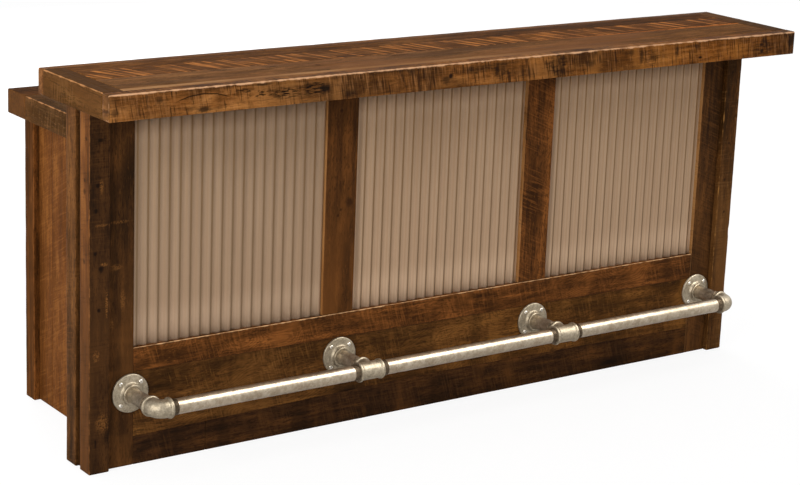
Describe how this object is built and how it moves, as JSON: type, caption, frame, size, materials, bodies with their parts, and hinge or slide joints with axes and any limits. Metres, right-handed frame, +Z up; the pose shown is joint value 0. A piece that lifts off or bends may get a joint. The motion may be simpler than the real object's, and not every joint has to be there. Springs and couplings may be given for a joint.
{
  "type": "bar counter",
  "caption": "Front bar with board and corrugated-sheet panels, raised bar top, lower counter over an open shelved cabinet, and a pipe foot rail.",
  "frame": {"origin": "on the floor, under the centre of the bounding box", "axes": "+X to the right as the customer sees it, +Y towards the bartender's side, +Z up"},
  "size_m": [2.3496, 0.8676, 1.0669],
  "materials": {
    "dark_barnwood": "reclaimed boards, dark brown, worn and lightly waxed",
    "brown_barnwood": "reclaimed boards, red to green brown, worn and lightly waxed",
    "tan_barnwood": "reclaimed boards, orange tan, saw marks, lightly waxed",
    "grey_barnwood": "reclaimed boards, grey brown, weathered",
    "plain_panel": "plain plywood and softwood, hidden or inside",
    "corrugated_sheet": "thin corrugated sheet, matt beige",
    "galvanised_iron": "galvanised pipe and malleable fittings, dull silver"
  },
  "bodies": {
    "root": {"left_corner_post": "dark_barnwood", "right_corner_post": "dark_barnwood", "left_end_stile": "dark_barnwood", "mid_stile_1": "dark_barnwood", "mid_stile_2": "dark_barnwood", "right_end_stile": "dark_barnwood", "top_rail": "dark_barnwood", "counter_front_plank": "dark_barnwood", "bar_rear_plank": "dark_barnwood", "left_cabinet_post": "dark_barnwood", "right_cabinet_post": "dark_barnwood", "kick_board": "dark_barnwood", "cabinet_rear_rail": "dark_barnwood", "left_rear_wall_post": "brown_barnwood", "right_rear_wall_post": "brown_barnwood", "base_board_lower": "brown_barnwood", "base_board_middle": "brown_barnwood", "base_board_upper": "brown_barnwood", "bar_rear_edge": "brown_barnwood", "counter_rear_edge": "brown_barnwood", "counter_left_end": "brown_barnwood", "counter_right_end": "brown_barnwood", "splash_board": "brown_barnwood", "left_end_panel": "brown_barnwood", "right_end_panel": "brown_barnwood", "cabinet_floor": "brown_barnwood", "divider_1": "brown_barnwood", "divider_2": "brown_barnwood", "bar_front_edge": "tan_barnwood", "bar_middle_plank": "tan_barnwood", "counter_rear_plank": "tan_barnwood", "shelf_1": "tan_barnwood", "shelf_2": "tan_barnwood", "shelf_3": "tan_barnwood", "bar_left_end": "grey_barnwood", "bar_right_end": "grey_barnwood", "bar_front_plank": "grey_barnwood", "counter_middle_plank": "grey_barnwood", "wall_core_panel": "plain_panel", "front_backing_panel": "plain_panel", "bar_underlay": "plain_panel", "counter_underlay": "plain_panel", "corrugated_sheet_1": "corrugated_sheet", "corrugated_sheet_2": "corrugated_sheet", "corrugated_sheet_3": "corrugated_sheet", "rail_flange_1": "galvanised_iron", "rail_flange_2": "galvanised_iron", "rail_flange_3": "galvanised_iron", "rail_flange_4": "galvanised_iron", "rail_nipple_1": "galvanised_iron", "rail_nipple_2": "galvanised_iron", "rail_nipple_3": "galvanised_iron", "rail_nipple_4": "galvanised_iron", "left_rail_elbow": "galvanised_iron", "right_rail_elbow": "galvanised_iron", "rail_tee_1": "galvanised_iron", "rail_tee_2": "galvanised_iron", "rail_pipe_1": "galvanised_iron", "rail_pipe_2": "galvanised_iron", "rail_pipe_3": "galvanised_iron"}
  },
  "joints": []
}
